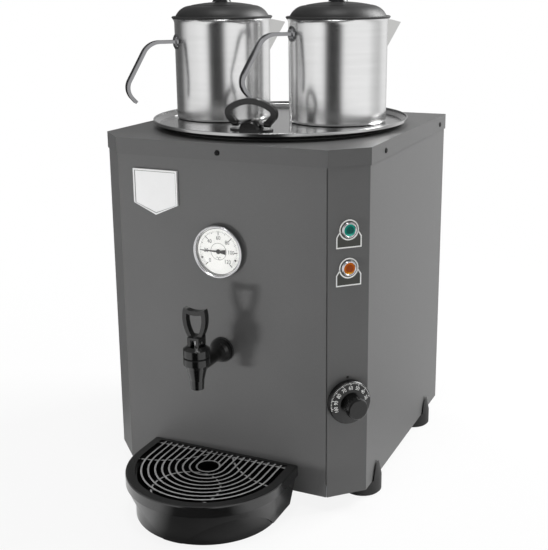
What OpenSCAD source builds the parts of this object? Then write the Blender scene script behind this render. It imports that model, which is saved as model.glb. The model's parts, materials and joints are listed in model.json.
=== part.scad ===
// Countertop hot water urn for tea. A chamfered sheet-metal casing stands on four rubber
// feet round a cylindrical tank. A warming plate covers the tank and carries two lidded
// teapots. The front has a push tap, a dial thermometer and a shield-shaped badge, and the
// right-hand chamfer has two pilot lamps and a thermostat knob. A drip tray with a grille
// stands loose under the tap.
// Front is -Y and up is +Z. The origin is the bottom centre of the whole object's box.

/* [Casing] */
// Width over the flat side panels
body_w = 330; // [326:2:336]
// Depth from the front panel to the rear panel
body_d = 330; // [326:2:336]
// Height from the panels' lower edge to the cover's top
body_h = 400; // [392:4:416]
// Cut across each front corner
corner_cut = 35; // [33:1:37]
// Thickness of every casing sheet
sheet = 1.2; // [1:0.1:1.4]
// Height of the top cover's skirt
skirt_h = 19; // [17:1:22]
// Dark gap where the control panel meets the front panel
seam_gap = 1.2; // [0.8:0.1:1.6]

/* [Feet] */
// Height of the panels' lower edge above the table
floor_gap = 18; // [16:1:22]
// Radius of a foot
foot_r = 23.5; // [22:0.5:24.5]
// Distance of a foot's axis inside the side panel
foot_inset = 17.7; // [17:0.1:19]
// Distance of the front feet's axes behind the front panel
foot_front_in = 71; // [65:1:77]
// Distance of the rear feet's axes ahead of the rear panel
foot_rear_in = 56; // [51:1:61]
// Gap between a side panel and the foot's bullet
foot_slot = 1.8; // [1.4:0.1:2.2]
// Height of a foot's outer bullet above the panel's lower edge
foot_lug_h = 20.5; // [17:0.5:23]

/* [Tank] */
// Inner radius of the tank
tank_r = 139; // [134:1:140]
// Thickness of the tank's wall
tank_wall = 1; // [0.8:0.1:1.2]
// Height of the tank's floor above the panels' lower edge
tank_up = 100; // [96:1:106]
// Tank axis behind the casing's centre
tank_back = 3.4; // [2:0.2:4.4]
// Radius of the heating element's ring
element_ring_r = 75; // [65:1:85]
// Radius of the heating element's tube
element_r = 4.2; // [3.6:0.1:4.6]

/* [Warming plate] */
// Width of the plate's border outside the tank's mouth
plate_lip = 17.6; // [15:0.2:19]
// Height of the plate's floor above the cover
plate_up = 4; // [3.4:0.2:5]
// Height of the rim above the plate's floor
rim_h = 6.2; // [5.4:0.2:8]
// Radius of the vent hole
vent_r = 2.5; // [2:0.1:3]
// Radius of the pin that the lifting handle turns on
bail_pin_r = 1.6; // [1.3:0.1:1.8]
// Half width of the lifting handle, measured at its middle line
bail_half_w = 29.5; // [28:0.5:31]

/* [Teapots] */
// Radius of a pot's body at its foot
pot_r = 59.5; // [57:0.5:60.5]
// Height of a pot's body up to its rim
pot_h = 123.5; // [118:0.5:128]
// Thickness of a pot's wall
pot_wall = 1; // [0.8:0.1:1.2]
// Height of the lid's dome above its brim
lid_dome = 17; // [15:0.5:19]
// Height of a lid's knob
knob_h = 30; // [26:1:32]
// Direction of a pot's handle, seen from above
pot_turn = 225; // [218:1:232]
// Distance of the left pot's handle below its rim
strap_drop_a = 27.4; // [18:0.2:32]
// Distance of the right pot's handle below its rim
strap_drop_b = 17; // [16:0.2:24]
// Width of the handle's strap
strap_w = 12; // [10:0.5:13]
// Radius of the washer between the handle and the pot
washer_r = 9; // [8:0.25:9.5]
// Reach of the spout from the pot's axis
spout_reach = 85; // [81:0.5:88]

/* [Tap] */
// Height of the tap's arm above the panels' lower edge
tap_up = 160.5; // [155:0.5:166]
// Distance of the tap's upright axis from the front panel
tap_out = 60; // [56:1:64]
// Radius of the tap's collar and bonnet
collar_r = 14.8; // [14:0.2:15.4]
// Radius of the tap's threaded shank and the thermometer's
shank_r = 10; // [9:0.25:10.5]
// Radius of the water way
water_r = 5; // [4.5:0.1:5.4]
// Radius of the stem
stem_r = 2.5; // [2.2:0.1:2.7]
// Radius of the pin through the stem
tap_pin_r = 1.2; // [1:0.1:1.3]
// Thickness of the handle's loop
loop_t = 8; // [7:0.5:9]
// Running clearance between a pin or shaft and its hole
running = 0.06; // [0.03:0.01:0.08]

/* [Thermometer] */
// Height of the thermometer above the panels' lower edge
dial_up = 278; // [272:1:282]
// Radius of the thermometer's case
dial_r = 30.4; // [28.4:0.4:31.2]
// Width of the case's bezel
bezel_w = 2.8; // [2.4:0.1:3.4]
// Depth of the case in front of the panel
dial_depth = 8; // [7.4:0.2:9]

/* [Controls] */
// Height of the thermostat's shaft above the panels' lower edge
knob_up = 116; // [112:1:120]
// Radius of the thermostat knob's skirt
knob_r = 25; // [24:0.5:25.5]
// Height of the knob's skirt
skirt_rise = 12; // [10:0.5:14]
// Height of the knob's end
knob_rise = 29.6; // [26:0.2:32]
// Radius of the thermostat's shaft
shaft_r = 3; // [2.8:0.1:3.4]
// Height of the green pilot lamp above the panels' lower edge
green_up = 312.4; // [308:0.4:320]
// Height of the amber pilot lamp above the panels' lower edge
amber_up = 269.8; // [264:0.4:274]
// Radius of a lamp's bezel
bezel_r = 8.8; // [8.2:0.2:9.4]
// Radius of the label's ring round a lamp
label_r = 11.6; // [11:0.1:12]
// Radius of a lamp's lens
lens_r = 6.4; // [6:0.1:6.8]

/* [Badge] */
// Width of the badge
badge_w = 57.5; // [52:0.5:62]
// Height of the badge to its point
badge_h = 52.4; // [48:0.4:56]
// Height of the badge's straight sides
badge_side = 39.7; // [36:0.1:42]
// Distance of the badge's middle from the casing's
badge_x = 80; // [74:1:84]
// Distance of the badge's upper edge below the cover's top
badge_drop = 34.3; // [30:0.1:40]

/* [Drip tray] */
// Radius of the tray's round front, over its rim
tray_r = 94.5; // [92:0.5:96]
// Length of the tray's straight sides
tray_straight = 40.5; // [38:0.5:44]
// Height of the tray's rim above the table
tray_h = 51; // [48:1:54]
// Gap between the tray and the front panel
tray_gap = 0.5; // [0.3:0.1:1]
// Width of a grille bar
bar_w = 2; // [1.7:0.1:2.3]
// Distance between grille bars
bar_pitch = 7.9; // [7.6:0.1:8]

/* [Hidden] */
$fn = 96;

// Play between pieces of one body, and between pieces that only rest together
fit = 0.05;
seat_gap = 0.2;

// Casing
gland_out = 16;
front_reach = body_d / 2 + tray_gap + tray_straight + tray_r;
mid_y = (front_reach - body_d / 2 - gland_out) / 2;
front_y = mid_y - body_d / 2;
rear_y = mid_y + body_d / 2;
side_x = body_w / 2;
top_z = floor_gap + body_h;
cover_play = 0.1;
cover_out = cover_play + sheet;
panel_top = top_z - sheet;
seam_x = side_x - corner_cut;
fold_w = 12;
base_upstand = 14;
screw_r = 1.5;
screw_z = top_z - skirt_h + 8.4;
foot_front = body_d / 2 - foot_front_in;
foot_rear = body_d / 2 - foot_rear_in;
side_screws = [82 - body_d / 2, body_d / 2 - 26];
rear_screw_x = body_w / 2 - 65;
chamfer_mid = [side_x - corner_cut / 2, front_y + corner_cut / 2];

// Tank
tank_y = mid_y + tank_back;
tank_z = floor_gap + tank_up;
tank_out_r = tank_r + tank_wall;
flange_w = 10;
bush_r = shank_r + 3;
bush_in = 6;
element_leg = 16;
element_flange_r = 33;
element_neck_r = 23;
element_bolt_at = 28;
element_bolt_r = 2.5;
element_up = 20;
gasket_t = 2;

// Heights of what the front and the chamfer carry
tap_z = floor_gap + tap_up;
dial_z = floor_gap + dial_up;
knob_z = floor_gap + knob_up;
tap_y = front_y - tap_out;

// Warming plate and pots
plate_z = top_z + plate_up;
plate_sheet = 1;
plate_r = tank_r + plate_lip;
spigot_r = tank_r - 2;
bail_at = [3, -85];
bail_z = plate_z + 7.5;
pot_a_at = [-83, 12];
pot_b_at = [67, 26];
flare = 2.2;
flare_r = 9;
flare_h = sqrt(flare_r * flare_r - (flare_r - flare) * (flare_r - flare));
rim_r = pot_r + 0.5 + flare;

// ---------------------------------------------------------------- shared shapes

// Plan of the casing, moved in from the outer faces by inset
module casing_plan(inset = 0) {
    x = body_w / 2 - inset;
    y = body_d / 2 - inset;
    c = corner_cut - (2 - sqrt(2)) * inset;
    translate([0, mid_y])
        polygon([[-x, y], [-x, c - y], [c - x, -y], [x - c, -y], [x, c - y], [x, y]]);
}

module wall_plan(from = 0, to = sheet) {
    difference() {
        casing_plan(from);
        casing_plan(to);
    }
}

// A face's own axes: x along the face, y up, z out of the casing
module on_front(x, z) {
    translate([x, front_y, z]) rotate([90, 0, 0]) children();
}

module on_chamfer(z) {
    translate([chamfer_mid[0], chamfer_mid[1], z]) rotate([0, 0, 45]) rotate([90, 0, 0]) children();
}

module on_side(s, y, z) {
    translate([s * side_x, mid_y + y, z]) rotate([0, 90 * s, 0]) children();
}

module on_rear(x, z) {
    translate([x, rear_y, z]) rotate([-90, 0, 0]) children();
}

// Cylinder between two heights
module rod(r, from, to) {
    translate([0, 0, from]) cylinder(r = r, h = to - from);
}

module tube(outer, inner, from, to) {
    translate([0, 0, from]) difference() {
        cylinder(r = outer, h = to - from);
        translate([0, 0, -1]) cylinder(r = inner, h = to - from + 2);
    }
}

// Flat piece of a ring between two angles
module sector(inner, outer, a0, a1) {
    mid = (a0 + a1) / 2;
    reach = 1.3 * outer;
    intersection() {
        difference() {
            circle(outer, $fn = 180);
            circle(inner, $fn = 180);
        }
        polygon([[0, 0], reach * [cos(a0), sin(a0)], reach * [cos(mid), sin(mid)],
            reach * [cos(a1), sin(a1)]]);
    }
}

module at_cover_screws() {
    on_front(0, screw_z) children();
    for (s = [-1, 1], y = side_screws) on_side(s, y, screw_z) children();
    for (s = [-1, 1]) on_rear(s * rear_screw_x, screw_z) children();
}

module screw_holes() {
    at_cover_screws() rod(screw_r + fit, -20, 20);
}

// ---------------------------------------------------------------- casing

module front_panel() {
    reach = body_w * 2;
    color("#4b4d50") difference() {
        translate([0, 0, floor_gap]) linear_extrude(panel_top - floor_gap) intersection() {
            wall_plan();
            translate([-reach, -reach]) square([reach + seam_x - seam_gap, reach + rear_y - sheet]);
        }
        on_front(0, tap_z) rod(shank_r + fit, -20, 20);
        on_front(0, dial_z) rod(shank_r + fit, -20, 20);
        screw_holes();
    }
}

// The control panel's front edge folds back behind the front panel
module control_panel() {
    reach = body_w * 2;
    fold_z = floor_gap + base_upstand + 2;
    color("#55575a") difference() {
        union() {
            translate([0, 0, floor_gap]) linear_extrude(panel_top - floor_gap) intersection() {
                wall_plan();
                translate([seam_x, -reach]) square([reach, reach + rear_y - sheet]);
            }
            translate([seam_x - fold_w, front_y + sheet + cover_play, fold_z])
                cube([fold_w + 0.4, sheet, panel_top - fold_z]);
        }
        on_chamfer(knob_z) rod(shaft_r + 2, -20, 20);
        for (up = [green_up, amber_up]) on_chamfer(floor_gap + up) rod(lens_r - 0.5 + fit, -20, 20);
        screw_holes();
    }
}

module rear_panel() {
    color("#4b4d50") difference() {
        translate([-side_x, rear_y - sheet, floor_gap]) cube([body_w, sheet, panel_top - floor_gap]);
        on_rear(gland_x, gland_z) rod(gland_thread_r + fit, -20, 20);
        screw_holes();
    }
}

// Flat top with a turned-down skirt and a turned-up collar round the tank's mouth
module top_cover() {
    collar_top = plate_z - plate_sheet;
    color("#3c3e41") difference() {
        union() {
            translate([0, 0, panel_top]) linear_extrude(sheet) casing_plan(-cover_out);
            translate([0, 0, top_z - skirt_h]) linear_extrude(skirt_h)
                wall_plan(-cover_out, -cover_play);
            translate([0, tank_y, 0]) rod(tank_r + sheet, panel_top, collar_top);
        }
        translate([0, tank_y, 0]) rod(tank_r, 0, top_z + 50);
        screw_holes();
    }
}

module cover_screws() {
    color("#2b2c2e") at_cover_screws() {
        difference() {
            rotate_extrude() polygon([[0, cover_out], [3.2, cover_out], [2.9, cover_out + 0.9],
                [1.6, cover_out + 1.4], [0, cover_out + 1.4]]);
            translate([-0.4, -2.2, cover_out + 0.8]) cube([0.8, 4.4, 2]);
            translate([-2.2, -0.4, cover_out + 0.8]) cube([4.4, 0.8, 2]);
        }
        rod(screw_r, -8, cover_out);
    }
}

// Shallow pan whose upstand fits inside the panels
module base_plate() {
    color("#8b8d90") difference() {
        union() {
            translate([0, 0, floor_gap]) linear_extrude(sheet) casing_plan(sheet);
            translate([0, 0, floor_gap]) linear_extrude(base_upstand) wall_plan(sheet, 2 * sheet);
        }
        at_feet() rod(foot_screw_r + fit, -1, floor_gap + 20);
        for (s = [-1, 0, 1], y = [-60, 0, 60])
            translate([s * 50, mid_y + y, 0]) rod(6, 0, floor_gap + 20);
    }
}

// ---------------------------------------------------------------- feet

foot_screw_r = 2;

module at_foot(s, y) {
    translate([s * (side_x - foot_inset), mid_y + y, 0]) children();
}

module at_feet() {
    for (s = [-1, 1], y = [-foot_front, foot_rear]) at_foot(s, y) children();
}

// Round rubber foot whose outer side rises past the panel as a cone
module foot(s, y) {
    straight_h = floor_gap + 1;
    top = floor_gap + foot_lug_h;
    tip_r = foot_inset + foot_slot;
    color("#2a2a2b") at_foot(s, y) difference() {
        rotate_extrude() polygon([[0, 0], [foot_r - 1.5, 0], [foot_r, 1.5], [foot_r, straight_h],
            [tip_r, top], [0, top]]);
        inner = tip_r + 60;
        translate([s > 0 ? tip_r - inner : -tip_r, -60, floor_gap]) cube([inner, 120, 60]);
        rod(foot_screw_r + fit, -1, floor_gap + 1);
        rod(7, -1, 8);
    }
}

module foot_front_left() { foot(-1, -foot_front); }
module foot_front_right() { foot(1, -foot_front); }
module foot_rear_left() { foot(-1, foot_rear); }
module foot_rear_right() { foot(1, foot_rear); }

module foot_screws() {
    color("#9a9c9e") at_feet() {
        rod(4, 5, 8);
        rod(foot_screw_r, 7, floor_gap + sheet + 6);
        translate([0, 0, floor_gap + sheet]) difference() {
            cylinder(r = 4, h = 3.2, $fn = 6);
            rod(foot_screw_r, -1, 5);
        }
    }
}

// ---------------------------------------------------------------- tank and heating

// Open pot of stainless steel, hung by its flange under the top cover
module tank() {
    c = 8;
    color("#c9cbcc") difference() {
        translate([0, tank_y, 0]) rotate_extrude() polygon([
            [0, tank_z], [tank_out_r - c, tank_z], [tank_out_r, tank_z + c],
            [tank_out_r, panel_top - tank_wall], [tank_out_r + flange_w, panel_top - tank_wall],
            [tank_out_r + flange_w, panel_top], [tank_r, panel_top],
            [tank_r, tank_z + c + 0.4], [tank_r - c + 0.4, tank_z + tank_wall], [0, tank_z + tank_wall]]);
        for (z = [tap_z, dial_z]) on_front(0, z)
            rod(bush_r + fit, -body_d / 2 - tank_back, 0);
        translate([0, tank_y, 0]) rod(element_neck_r + fit, tank_z - 1, tank_z + 5);
        at_element_bolts() rod(element_bolt_r + fit, tank_z - 1, tank_z + 5);
    }
}

// Welded sockets that the tap and the thermometer screw into
module tank_bushes() {
    far = body_d / 2 + tank_back - tank_r + bush_in;
    color("#b9bbbc") for (z = [tap_z, dial_z]) on_front(0, z)
        tube(bush_r, shank_r + fit, -far, -sheet - seat_gap);
}

module at_element_bolts() {
    for (a = [45 : 90 : 315])
        translate([0, tank_y, 0]) rotate([0, 0, a]) translate([element_bolt_at, 0, 0]) children();
}

// Ring of sheathed tube with two legs down through the flange
module heating_element() {
    z = tank_z + element_up;
    low = tank_z - gasket_t - 22;
    reach = sqrt(element_ring_r * element_ring_r - element_leg * element_leg);
    a = asin(element_leg / element_ring_r);
    color("#6f6a66") translate([0, tank_y, z]) {
        rotate([0, 0, a]) rotate_extrude(angle = 360 - 2 * a)
            translate([element_ring_r, 0]) circle(element_r);
        for (s = [-1, 1]) translate([0, s * element_leg, 0]) {
            rotate([0, 90, 0]) cylinder(r = element_r, h = reach);
            translate([reach, 0, 0]) sphere(element_r);
            sphere(element_r);
            rod(element_r, low - z, 0);
            rod(1.6, low - z - 8, low - z);
        }
    }
}

module element_gasket() {
    color("#a8472f") difference() {
        translate([0, tank_y, 0])
            tube(element_flange_r, element_neck_r + fit, tank_z - gasket_t, tank_z);
        at_element_bolts() rod(element_bolt_r + fit, tank_z - 10, tank_z + 5);
    }
}

module element_flange() {
    t = 5;
    color("#b08d57") difference() {
        translate([0, tank_y, 0]) {
            rod(element_flange_r, tank_z - gasket_t - t, tank_z - gasket_t);
            rod(element_neck_r, tank_z - gasket_t - 1, tank_z + 3);
        }
        at_element_bolts() rod(element_bolt_r + fit, tank_z - 20, tank_z + 5);
        for (s = [-1, 1]) translate([0, tank_y + s * element_leg, 0])
            rod(element_r + fit, tank_z - 20, tank_z + 10);
    }
}

module element_bolts() {
    under = tank_z - gasket_t - 5;
    color("#9a9c9e") at_element_bolts() {
        translate([0, 0, under - 3.5]) cylinder(r = 4.6, h = 3.5, $fn = 6);
        rod(element_bolt_r, under - 1, tank_z + tank_wall + 3);
        translate([0, 0, tank_z + tank_wall]) difference() {
            cylinder(r = 4.6, h = 2, $fn = 6);
            rod(element_bolt_r, -1, 4);
        }
    }
}

// Disc cut-out clipped under the tank, with two tabs
module safety_cutout() {
    color("#26282a") translate([70, tank_y, 0]) {
        rod(12, tank_z - 9, tank_z);
        rod(9, tank_z - 16, tank_z - 9);
        for (s = [-1, 1]) translate([s * 5 - 0.4, -3, tank_z - 26]) cube([0.8, 6, 11]);
    }
}

module terminal_block() {
    color("#e8e4da") translate([60, rear_y - 60, floor_gap + sheet]) difference() {
        cube([44, 18, 16]);
        for (i = [0:3]) translate([5.5 + i * 11, 9, 4]) rod(3, 0, 20);
    }
}

gland_x = 110;
gland_z = floor_gap + 40;
gland_thread_r = 10;

module cable_gland() {
    color("#1f2021") on_rear(gland_x, gland_z) difference() {
        union() {
            cylinder(r = 13.5, h = 6, $fn = 6);
            rod(11.5, 5, gland_out - 3);
            translate([0, 0, gland_out - 3]) cylinder(r1 = 11.5, r2 = 8, h = 3);
            rod(gland_thread_r, -12, 1);
            translate([0, 0, -sheet - 5]) cylinder(r = 13.5, h = 5, $fn = 6);
        }
        rod(4.5, -20, gland_out + 1);
    }
}

// ---------------------------------------------------------------- thermostat

stat_depth = 30;
stat_half = 20;

module thermostat_body() {
    color("#d8d4c8") on_chamfer(knob_z) difference() {
        union() {
            translate([-stat_half, -stat_half, -sheet - 12]) cube([2 * stat_half, 2 * stat_half, 12]);
            rod(17, -sheet - stat_depth, -sheet - 11);
        }
        rod(shaft_r + running, -sheet - 20, 0);
    }
}

// Sensing bulb on the tank's wall, joined to the thermostat by its capillary
module thermostat_bulb() {
    to_chamfer = ((body_w + body_d) / 2 - corner_cut) / sqrt(2) - sheet - stat_depth;
    bulb_r = 3;
    bulb_len = 72;
    bulb_at = tank_out_r + seat_gap + bulb_r;
    back = tank_back / sqrt(2);
    color("#b87333") translate([0, tank_y, knob_z + 10]) rotate([0, 0, -45]) {
        translate([bulb_at, 0, 0]) {
            rod(bulb_r, 0, bulb_len);
            translate([0, 0, bulb_len]) sphere(bulb_r);
            sphere(bulb_r);
        }
        translate([bulb_at, 0, 0]) rotate([0, 90, 0]) cylinder(r = 1, h = to_chamfer + back - bulb_at);
    }
}

module thermostat_shaft() {
    color("#b9bbbc") on_chamfer(knob_z) rod(shaft_r, -sheet - 18, 14);
}

// Skirt with a printed cone, and a six-sided grip with a round end
module thermostat_knob() {
    grip_r = 12.2;
    color("#1b1b1c") on_chamfer(knob_z) difference() {
        union() {
            rotate_extrude() polygon([[0, 1], [knob_r - 0.6, 1], [knob_r, 1.6],
                [knob_r, skirt_rise - 4.4], [knob_r - 0.8, skirt_rise - 3.4],
                [grip_r + 1.6, skirt_rise], [0, skirt_rise]]);
            rotate([0, 0, 8]) translate([0, 0, skirt_rise - 2])
                cylinder(r = grip_r, h = knob_rise - skirt_rise - 4.6, $fn = 6);
            rotate_extrude() polygon([[0, knob_rise - 7.6], [grip_r - 0.4, knob_rise - 7.6],
                [grip_r + 0.2, knob_rise - 6.6], [grip_r + 0.2, knob_rise - 3.6],
                [grip_r - 0.6, knob_rise - 1], [grip_r - 1.8, knob_rise], [0, knob_rise]]);
        }
        rod(shaft_r + 0.02, 0, 14.2);
    }
}

module knob_index() {
    color("#101010") on_chamfer(knob_z) translate([0, knob_r + 2.5, 0]) rod(1.5, 0, 0.4);
}

// ---------------------------------------------------------------- pilot lamps

label_t = 0.6;

// Label plate: a ring round the lamp over a plate with sloping shoulders
module lamp_label(up) {
    color("#2c2d2b") on_chamfer(floor_gap + up) difference() {
        union() {
            rod(label_r, 0, label_t);
            linear_extrude(label_t)
                polygon([[-15, -20], [15, -20], [15, -7.5], [11, -1], [-11, -1], [-15, -7.5]]);
        }
        rod(lens_r - 0.5 + fit, -1, 2);
    }
}

module lamp_bezel(up) {
    color("#d5d7d8") on_chamfer(floor_gap + up) rotate_extrude()
        polygon([[lens_r + fit, label_t], [bezel_r, label_t], [bezel_r, label_t + 1],
            [bezel_r - 1.2, label_t + 3], [lens_r + 0.6, label_t + 3], [lens_r + fit, label_t + 2.4]]);
}

// Domed lens with its barrel through the panel
module lamp_lens(up, tint) {
    dome_r = 20;
    sink = sqrt(dome_r * dome_r - lens_r * lens_r);
    color(tint) on_chamfer(floor_gap + up) {
        rotate_extrude() {
            translate([0, label_t]) square([lens_r, 2]);
            intersection() {
                translate([0, label_t + 2 - sink]) circle(dome_r, $fn = 180);
                translate([0, label_t + 1.9]) square([lens_r, 5]);
            }
        }
        rod(lens_r - 0.5, -sheet - 22, label_t);
        for (s = [-1, 1]) translate([s * 3 - 0.4, -2, -sheet - 30]) cube([0.8, 4, 9]);
    }
}

module lamp_green_label() { lamp_label(green_up); }
module lamp_green_bezel() { lamp_bezel(green_up); }
module lamp_green_lens() { lamp_lens(green_up, "#1f8f80"); }
module lamp_amber_label() { lamp_label(amber_up); }
module lamp_amber_bezel() { lamp_bezel(amber_up); }
module lamp_amber_lens() { lamp_lens(amber_up, "#b5651d"); }

// ---------------------------------------------------------------- badge

// Bare shield with a raised border
module badge() {
    plate_t = 2.2;
    border_t = 2.9;
    border_w = 1.8;
    module shield(inset) {
        x = badge_w / 2 - inset;
        polygon([[-x, -inset], [x, -inset], [x, -badge_side], [0, 1.1 * inset - badge_h],
            [-x, -badge_side]]);
    }
    color("#c4c6c8") on_front(-badge_x, top_z - badge_drop) {
        linear_extrude(plate_t) shield(0);
        linear_extrude(border_t) difference() {
            shield(0);
            shield(border_w);
        }
    }
}

// ---------------------------------------------------------------- thermometer

dial_rest = -90;
needle_r = 1;
face_r = dial_r - bezel_w;

// Pressed case with its bezel, threaded shank and probe
module thermometer_case() {
    far = body_d / 2 + tank_back - tank_r;
    color("#dfe1e2") on_front(0, dial_z) difference() {
        union() {
            rotate_extrude() polygon([[0, 1], [dial_r - 3, 1], [dial_r - 0.6, 1.6],
                [dial_r, 3], [dial_r, dial_depth - 1], [dial_r - 0.9, dial_depth],
                [face_r + 0.8, dial_depth], [face_r, dial_depth - 1.2],
                [face_r, 2.4], [0, 2.4]]);
            rod(shank_r, -sheet - 24, 1.5);
            rod(shank_r + 3, 0, 1.2);
            rod(3.2, -far - 36, -10);
        }
        rod(needle_r + running, 0.5, 3);
    }
}

module thermometer_dial() {
    color("#f2f2ee") on_front(0, dial_z) difference() {
        rod(face_r - fit, 2.4, 3.2);
        rod(needle_r + running, 2, 4);
    }
}

module thermometer_glass() {
    color("#dfeaf0", 0.3) on_front(0, dial_z) rod(face_r - fit, dial_depth - 2.4, dial_depth - 1.4);
}

// Points at 20 degrees on a 0 to 120 scale, tail with a bow-tie end
module thermometer_needle() {
    color("#222222") on_front(0, dial_z) rotate([0, 0, -dial_rest]) {
        translate([0, 0, 3.7]) linear_extrude(0.5) {
            polygon([[-0.9, 0], [-0.35, 20], [0.35, 20], [0.9, 0]]);
            circle(2.7);
            polygon([[-1, 0], [-2.7, -9], [2.7, -9], [1, 0]]);
        }
        rod(needle_r, 1, 3.8);
    }
}

// ---------------------------------------------------------------- tap

bell_r = 13.8;
arm_r = 8.2;
chamber_r = 8.2;
collar_low = tap_z + 4.3;
collar_high = tap_z + 12.5;
neck_top = tap_z + 18.5;
bonnet_top = tap_z + 25.5;
spout_low = tap_z - 24.7;
seat_z = tap_z - 12;
pin_z = bonnet_top + 4.2;
cup_top = 14;

module at_tap() {
    translate([0, tap_y, 0]) children();
}

module tap_washer() {
    color("#1c1c1c") on_front(0, tap_z) tube(bell_r + 0.9, shank_r + fit, 0, 2.5);
}

// Upright barrel with a tapered spout, a side arm with a bell flange, and the shank
module tap_body() {
    shank_in = 24;
    color("#161617") difference() {
        union() {
            at_tap() rotate_extrude() polygon([
                [0, spout_low], [7.3, spout_low], [7.9, tap_z - 14.5], [9.5, tap_z - 7.6],
                [11.4, tap_z], [12.6, collar_low - 0.8], [collar_r, collar_low],
                [collar_r, collar_high - 0.8], [collar_r - 0.8, collar_high],
                [12, collar_high], [12, neck_top], [0, neck_top]]);
            on_front(0, tap_z) {
                rod(arm_r, 2.5, tap_out - 9.6);
                rotate_extrude() polygon([[0, 2.5], [bell_r, 2.5], [bell_r, 4.5], [12.8, 8],
                    [10.8, 12], [9, 17], [arm_r, 23], [0, 23]]);
                rod(shank_r, -sheet - shank_in, 3);
            }
        }
        at_tap() rotate_extrude() polygon([[0, spout_low - 1], [water_r, spout_low - 1], [water_r, seat_z],
            [chamber_r, seat_z + chamber_r - water_r], [chamber_r, neck_top + 1], [0, neck_top + 1]]);
        on_front(0, tap_z) rod(water_r, -60, tap_out);
    }
}

module tap_bonnet() {
    lip = 0.4;
    color("#161617") at_tap() rotate_extrude() polygon([
        [12 + fit, collar_high + lip], [collar_r - 0.8, collar_high + lip],
        [collar_r, collar_high + lip + 0.8], [collar_r, bonnet_top - 3.4],
        [collar_r - 1.6, bonnet_top - 2.4], [10.4, bonnet_top], [stem_r + running, bonnet_top],
        [stem_r + running, neck_top + fit], [12 + fit, neck_top + fit]]);
}

// Soft seat cup on the end of the stem
module tap_cup() {
    slack = 0.42;
    low = 0.3;
    cup_r = chamber_r - 0.9;
    color("#d9d6cf") at_tap() difference() {
        translate([0, 0, seat_z]) rotate_extrude() polygon([[0, low], [water_r + low - slack, low],
            [cup_r, cup_r - water_r + slack], [cup_r, 12], [6.5, cup_top], [0, cup_top]]);
        rod(stem_r + 0.02, seat_z + 6, seat_z + 20);
    }
}

module tap_stem() {
    color("#c9c7c0") at_tap() difference() {
        rod(stem_r, seat_z + 6, pin_z + 2.2);
        translate([-5, 0, pin_z]) rotate([0, 90, 0]) cylinder(r = tap_pin_r + 0.02, h = 10);
    }
}

// Coil between the cup and the bonnet
module tap_spring() {
    low = seat_z + cup_top + 0.02;
    high = neck_top - 0.02;
    color("#9fa1a3") at_tap() translate([0, 0, low])
        linear_extrude(high - low, twist = -360 * 4, slices = 80, $fn = 6)
            translate([5.2, 0]) circle(0.8, $fn = 6);
}

module tap_pin() {
    color("#9a9c9e") at_tap() translate([-6.9, 0, pin_z]) rotate([0, 90, 0])
        cylinder(r = tap_pin_r, h = 13.8);
}

// Forked foot that rocks on the bonnet, under a loop with a hollowed top
module tap_handle() {
    fork_w = 14;
    fork_front = 7.4;
    fork_back = 9;
    fork_top = bonnet_top + 10.5;
    base = bonnet_top + 0.25;
    waist_z = tap_z + 57.5;
    crown_z = tap_z + 95.5;
    side_r = 40;
    half_w = 14.2;
    hole_w = 9.4;
    hole_side_r = 38;
    hole_low = waist_z - 15;
    color("#121213") at_tap() difference() {
        union() {
            translate([-fork_w / 2, -fork_front, base]) cube([fork_w, fork_front + fork_back, fork_top - base]);
            rotate([90, 0, 0]) translate([0, 0, -loop_t / 2]) linear_extrude(loop_t) difference() {
                intersection() {
                    translate([half_w - side_r, waist_z]) circle(side_r, $fn = 240);
                    translate([side_r - half_w, waist_z]) circle(side_r, $fn = 240);
                    translate([-20, fork_top - 3]) square([40, crown_z - 24.5 - fork_top + 3]);
                }
                translate([0, crown_z]) circle(30, $fn = 180);
                difference() {
                    intersection() {
                        translate([hole_w - hole_side_r, waist_z]) circle(hole_side_r, $fn = 240);
                        translate([hole_side_r - hole_w, waist_z]) circle(hole_side_r, $fn = 240);
                        union() {
                            translate([0, hole_low]) circle(6.6);
                            translate([-20, hole_low]) square([40, 60]);
                        }
                    }
                    translate([0, crown_z]) circle(34.6, $fn = 180);
                }
            }
        }
        translate([-stem_r - 0.8, -fork_front - 1, base - 1])
            cube([2 * stem_r + 1.6, fork_front + 5.4, pin_z + 4.6 - base]);
        translate([-20, 0, pin_z]) rotate([0, 90, 0]) cylinder(r = tap_pin_r + running, h = 40);
    }
}

// ---------------------------------------------------------------- warming plate

// Pressed plate with a raised rim, and a spigot that drops into the tank's mouth
module lid_plate() {
    under = plate_z - plate_sheet;
    top = plate_z + rim_h;
    color("#d6d8d9") translate([0, tank_y, 0]) difference() {
        union() {
            rotate_extrude() polygon([[0, under], [plate_r - 7, under], [plate_r, under + 3.8],
                [plate_r, top - 0.4], [plate_r - 0.5, top], [plate_r - 1.2, top - 0.3],
                [plate_r - 1.2, under + 4.5], [plate_r - 7.2, plate_z], [0, plate_z]]);
            tube(spigot_r, spigot_r - plate_sheet, under - 14, under + 0.1);
        }
        translate([42, 8 - tank_back, 0]) rod(vent_r, under - 1, top);
    }
}

module at_bail() {
    translate([bail_at[0], mid_y + bail_at[1], 0]) children();
}

// Domed base on a flat flange with rounded ends
module lid_handle_base() {
    half = 17.5;
    end_r = 9.5;
    flange_t = 1.8;
    dome_r = 15;
    color("#1a1a1b") at_bail() difference() {
        union() {
            for (s = [-1, 1]) translate([s * half, 0, plate_z]) cylinder(r = end_r, h = flange_t);
            translate([-half, -end_r, plate_z]) cube([2 * half, 2 * end_r, flange_t]);
            intersection() {
                translate([0, 0, plate_z + 13.5 - dome_r]) sphere(dome_r);
                translate([-30, -end_r, plate_z]) cube([60, 2 * end_r, 20]);
            }
        }
        translate([-40, 0, bail_z]) rotate([0, 90, 0]) cylinder(r = bail_pin_r + 0.02, h = 80);
    }
}

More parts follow.
